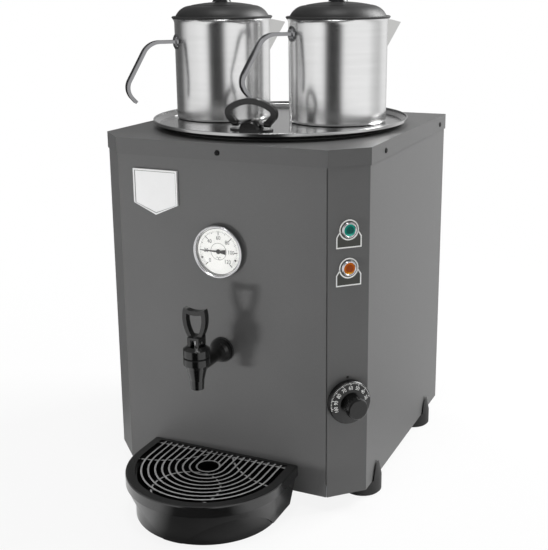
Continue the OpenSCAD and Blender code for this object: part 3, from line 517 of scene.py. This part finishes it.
def finish_piece(mesh, name, at, body, finish):
    """Places a new piece, gives it its finish and lets it ride on its body."""
    mesh.transform(at)
    obj = bpy.data.objects.new(name, mesh)
    bpy.context.scene.collection.objects.link(obj)
    obj.data.materials.append(FINISH[finish])
    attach(obj, body)
    return obj


def squeezed_spring():
    """The tap's spring. The bonnet holds its top; a copy of the spring rides whole on the lifting
    stem.
    """
    mesh = frame["nodes"]["tap_spring"].data.copy()
    mesh.materials.clear()
    place = Matrix.Identity(4)
    coil = finish_piece(mesh, "tap_coil", place, "tap_plunger", "steel_satin")
    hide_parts("tap_spring")
    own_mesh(coil)


def thin_shapes(outlines, thick):
    """One mesh of flat shapes, each an outline or an outline with a matching inner one."""
    made = bmesh.new()
    for outline, inner in outlines:
        rims = []
        for points in (outline, inner):
            if points is None:
                continue
            low = [made.verts.new((x * MM, y * MM, 0)) for x, y in points]
            high = [made.verts.new((x * MM, y * MM, thick * MM)) for x, y in points]
            rims.append((low, high))
        count = len(outline)
        for k, (low, high) in enumerate(rims):
            for i in range(count):
                j = (i + 1) % count
                side = (low[i], low[j], high[j], high[i])
                made.faces.new(side if k == 0 else side[::-1])
        if len(rims) == 1:
            made.faces.new(rims[0][1])
            made.faces.new(rims[0][0][::-1])
        else:
            (low, high), (low_in, high_in) = rims
            for i in range(count):
                j = (i + 1) % count
                made.faces.new((high[i], high[j], high_in[j], high_in[i]))
                made.faces.new((low[j], low[i], low_in[i], low_in[j]))
    mesh = bpy.data.meshes.new("marks")
    made.to_mesh(mesh)
    made.free()
    return mesh


def around(radius, count):
    """A circle's outline, in count points."""
    step = 2 * math.pi / count
    return [(radius * math.cos(i * step), radius * math.sin(i * step)) for i in range(count)]


def tick(angle, inner, outer, width):
    """A radial mark. The angle is in degrees, clockwise from the top."""
    a = math.radians(90 - angle)
    c, s = math.cos(a), math.sin(a)
    half = width / 2
    corners = [(inner, -half), (outer, -half), (outer, half), (inner, half)]
    return [(r * c - t * s, r * s + t * c) for r, t in corners], None


def numerals(text, height, at, name, body, finish, squeeze=1.0):
    """Raised figures, centred on at."""
    curve = bpy.data.curves.new(name, "FONT")
    curve.body = text
    curve.size = height * MM * 1.4
    curve.align_x = "CENTER"
    curve.align_y = "CENTER"
    curve.extrude = FIGURE_THICK * MM
    curve.resolution_u = 3
    holder = bpy.data.objects.new(name, curve)
    bpy.context.scene.collection.objects.link(holder)
    bpy.context.view_layer.update()
    mesh = bpy.data.meshes.new_from_object(
        holder.evaluated_get(bpy.context.evaluated_depsgraph_get())
    )
    bpy.data.objects.remove(holder)
    mesh.transform(Matrix.Diagonal((squeeze, 1, 1, 1)))
    mesh.materials.clear()
    return finish_piece(mesh, name, at, body, finish)


def dial_marks():
    """Thermometer face: 0 to 120 over three quarters of a turn, and the unit."""
    face = panel_frame((0, FRONT_Y - 3.21, DIAL_Z), (1, 0, 0), (0, 0, 1))
    marks = []
    for step in range(61):
        angle = -135 + step * 270 / 60
        if step % 10 == 0:
            inner, width = 19.0, 0.85
        elif step % 5 == 0:
            inner, width = 21.2, 0.55
        else:
            inner, width = 22.2, 0.3
        marks.append(tick(angle, inner, 23.8, width))
    for angle in (-112, 112):
        x = 22.8 * math.sin(math.radians(angle))
        y = 22.8 * math.cos(math.radians(angle))
        marks.append(([(x + a, y + b) for a, b in around(1.15, 20)], None))
    dots = 14
    for radius in (21.2, 25.1):
        for start, end in ((-135, -100), (100, 135)):
            for i in range(dots):
                angle = start + (end - start) * (i + 0.5) / dots
                marks.append(tick(angle, radius - 0.12, radius + 0.12, 0.62))
    mesh = thin_shapes(marks, MARK_THICK)
    finish_piece(mesh, "dial_marks", face, "casing", "ink_black")
    for k in range(7):
        angle = math.radians(-135 + 45 * k)
        x, y = 15.7 * math.sin(angle), 15.7 * math.cos(angle)
        spot = face @ Matrix.Translation(Vector((x, y, 0.02)) * MM)
        name = f"dial_number_{20 * k}"
        numerals(str(20 * k), 4.7, spot, name, "casing", "ink_black", squeeze=0.85)
    spot = face @ Matrix.Translation(Vector((0, -8.2, 0.02)) * MM)
    numerals("°C", 3.8, spot, "dial_unit", "casing", "ink_black")
    rings = [(around(26.9, 64), around(26.3, 64)), (around(9.9, 48), around(9.5, 48))]
    mesh = thin_shapes(rings, MARK_THICK)
    finish_piece(mesh, "dial_rings", face, "casing", "grey_ink_and_shade")


def chamfer_frame(height, out):
    """Axes on the control panel's chamfer, out of its face by out millimetres."""
    normal = Vector((1, -1, 0)).normalized()
    right = Vector((1, 1, 0)).normalized()
    origin = CHAMFER + normal * out + Vector((0, 0, height))
    return panel_frame(origin, right, (0, 0, 1))


def knob_marks():
    """Figures and ticks on the thermostat knob's sloping skirt."""
    centre = chamfer_frame(KNOB_Z, 0)
    slope = math.atan2(KNOB_NECK_UP - KNOB_RIM_UP, KNOB_RIM_R - KNOB_NECK_R)

    def up_at(radius):
        return KNOB_RIM_UP + (KNOB_RIM_R - radius) * math.tan(slope)

    for k, figure in enumerate(range(30, 110, 10)):
        angle = math.radians(75 - 25.7 * k)
        turn = centre @ Matrix.Rotation(-angle, 4, "Z")
        lean = turn @ Matrix.Translation(Vector((0, 18.4, up_at(18.4) + 0.04)) * MM)
        lean = lean @ Matrix.Rotation(-slope, 4, "X")
        name = f"knob_number_{figure}"
        text = str(figure)
        numerals(text, 4.3, lean, name, "thermostat_dial", "ink_white", squeeze=0.85)
    made = bmesh.new()
    for i in range(-25, 20):
        angle = math.radians(i * 4.2)
        inner, outer = (21.5, 24.0) if i % 6 == 0 else (22.6, 24.0)
        half = 0.32 if i % 6 == 0 else 0.2
        c, s = math.cos(angle), math.sin(angle)
        corners = []
        for r, t in ((inner, -half), (outer, -half), (outer, half), (inner, half)):
            for lift in (-0.1, 0.06):
                corners.append(
                    made.verts.new(Vector((t * c + r * s, r * c - t * s, up_at(r) + lift)) * MM)
                )
        low, high = corners[0::2], corners[1::2]
        made.faces.new(high)
        made.faces.new(low[::-1])
        for a in range(4):
            b = (a + 1) % 4
            made.faces.new((low[a], low[b], high[b], high[a]))
    bmesh.ops.recalc_face_normals(made, faces=made.faces)
    mesh = bpy.data.meshes.new("knob_ticks")
    made.to_mesh(mesh)
    made.free()
    finish_piece(mesh, "knob_ticks", centre, "thermostat_dial", "ink_white")


def lamp_marks(name, height):
    """White outline printed on a lamp's label: a ring over a plate's edge."""
    face = chamfer_frame(height, 0.6)
    ring = (around(11.55, 64), around(10.0, 64))
    edge = 1.4
    half, foot, shoulder = 15, -20, -7.5
    inner, inner_foot, inner_shoulder = half - edge, foot + edge, -7.8
    bars = [
        [(-half, foot), (half, foot), (inner, inner_foot), (-inner, inner_foot)],
        [(half, foot), (half, shoulder), (inner, inner_shoulder), (inner, inner_foot)],
        [(-half, shoulder), (-half, foot), (-inner, inner_foot), (-inner, inner_shoulder)],
        [(half, shoulder), (11.1, -1.2), (10.2, -2.2), (inner, inner_shoulder)],
        [(-11.1, -1.2), (-half, shoulder), (-inner, inner_shoulder), (-10.2, -2.2)],
    ]
    shapes = [ring] + [(bar, None) for bar in bars]
    finish_piece(thin_shapes(shapes, 0.06), name, face, "casing", "ink_white")


def badge_line():
    """Painted shade: a grey line along the inner side of the badge's raised border, where the
    border's shade falls.
    """
    x, z = BADGE_TOP
    face = panel_frame((x, FRONT_Y - BADGE_OUT, z), (1, 0, 0), (0, 0, 1))

    def shield(inset):
        half = BADGE_W / 2 - inset
        point = 1.1 * inset - BADGE_H
        sides = [(-half, -inset), (-half, -BADGE_SIDE), (0, point)]
        return sides + [(half, -BADGE_SIDE), (half, -inset)]

    mesh = thin_shapes([(shield(1.82), shield(2.5))], MARK_THICK)
    finish_piece(mesh, "badge_line", face, "casing", "grey_ink_and_shade")


squeezed_spring()
dial_marks()
badge_line()
knob_marks()
lamp_marks("lamp_green_outline", GREEN_Z)
lamp_marks("lamp_amber_outline", AMBER_Z)


# ---------------------------------------------------------------- studio


# How bright the studio's walls are in a reflection, by their bearing in degrees from +X
WALLS = (
    (-180, 0.1),
    (-170, 0.45),
    (-152, 0.85),
    (-132, 0.9),
    (-118, 1.0),
    (-102, 1.0),
    (-93, 0.03),
    (-64, 0.03),
    (-53, 1.0),
    (8, 1.0),
    (20, 0.75),
    (40, 0.6),
    (58, 0.9),
    (80, 0.9),
    (96, 0.5),
    (112, 0.5),
    (124, 0.3),
    (146, 0.15),
    (168, 0.1),
    (180, 0.1),
)


def wall_tone(p, place):
    """The walls are pale boards with dark gaps between them."""
    x, y, z = p.axes(place)
    bearing = y.math("ARCTAN2", x) / (2 * math.pi) + 0.5
    stops = [((angle + 180) / 360, (tone, tone, tone)) for angle, tone in WALLS]
    return p.node("ShaderNodeValToRGB", {"stops": stops}, {"Fac": bearing})


def studio_floor():
    """White floor. It keeps the urn's shadow, and far off it shows the walls to polished metal."""
    bpy.ops.mesh.primitive_circle_add(
        vertices=96, radius=9, fill_type="NGON", location=(0, 0, -0.0002)
    )
    floor = bpy.context.object
    floor.name = "floor"
    p = Paint("floor")
    x, y, z = p.axes(p.place())
    radius = (x * x + y * y).math("SQRT")
    far = radius.step(0.5, 1.1)
    wide = radius.step(0.14, 0.3)
    seen = p.rays("Camera", "Transmission")
    mirrored = p.rays("Glossy")
    grain = p.noise(p.place(), 60, 3)
    matt = p.node(
        "ShaderNodeBsdfDiffuse",
        None,
        {"Color": p.mix(grain, (0.74, 0.74, 0.74), (0.78, 0.78, 0.78))},
    )
    tone = p.mix(mirrored, (1.0, 1.0, 1.0), wall_tone(p, p.place()))
    glow = p.node("ShaderNodeEmission", None, {"Color": tone, "Strength": 1.0})
    share = seen * (0.88 + far * 0.12) + mirrored * wide
    shown = p.node("ShaderNodeMixShader", None, {0: share, 1: matt, 2: glow})
    p.feed(p.output.inputs["Surface"], shown)
    floor.data.materials.append(p.material)


def studio_world():
    """White to the camera, dim as a light, and walls with a grey ceiling in reflections."""
    p = Paint("studio", "World")
    way = p.node("ShaderNodeTexCoord")
    x, y, z = p.axes(way)
    tone = p.mix(z.step(0.3, 0.75), wall_tone(p, way), (0.35, 0.35, 0.35))
    dim = p.node("ShaderNodeBackground", None, {"Color": (1.0, 1.0, 1.0), "Strength": 0.3})
    walls = p.node("ShaderNodeBackground", None, {"Color": tone, "Strength": 1.0})
    white = p.node("ShaderNodeBackground", None, {"Color": (1.0, 1.0, 1.0), "Strength": 1.0})
    lit = p.node("ShaderNodeMixShader", None, {0: p.rays("Glossy"), 1: dim, 2: walls})
    seen = p.rays("Camera", "Transmission")
    shown = p.node("ShaderNodeMixShader", None, {0: seen, 1: lit, 2: white})
    p.feed(p.output.inputs["Surface"], shown)
    bpy.context.scene.world = p.material


def softbox(name, place, target, width, height, power, mirrored=True):
    """A lamp that faces its target. One that isn't mirrored shows in no reflection or view."""
    light = bpy.data.lights.new(name, "AREA")
    light.shape = "RECTANGLE"
    light.size = width
    light.size_y = height
    light.energy = power
    lamp = bpy.data.objects.new(name, light)
    bpy.context.scene.collection.objects.link(lamp)
    lamp.location = place
    lamp.visible_glossy = mirrored
    lamp.visible_camera = mirrored
    aim = Vector(target) - Vector(place)
    lamp.rotation_euler = aim.to_track_quat("-Z", "Y").to_euler()


studio_floor()
studio_world()
softbox("front_high", (-0.6, -2.1, 1.2), (0, 0, 0.35), 1.6, 1.6, 2.5, mirrored=False)
softbox("low", (-0.41, -0.97, 0.03), (0, -0.12, 0.3), 0.13, 0.08, 6.3, mirrored=False)
softbox("back_right", (1.5, 1.6, 1.8), (0, 0, 0.25), 1.3, 1.4, 88)
softbox("back_left", (-1.7, 1.3, 1.3), (0, 0, 0.25), 1.2, 1.4, 18, mirrored=False)
softbox("top", (0.1, -0.3, 2.4), (0, 0, 0.3), 0.5, 0.5, 12)

bpy.context.scene.view_settings.view_transform = "Standard"


def corners(box):
    return [[float(v) for v in corner] for corner in box]
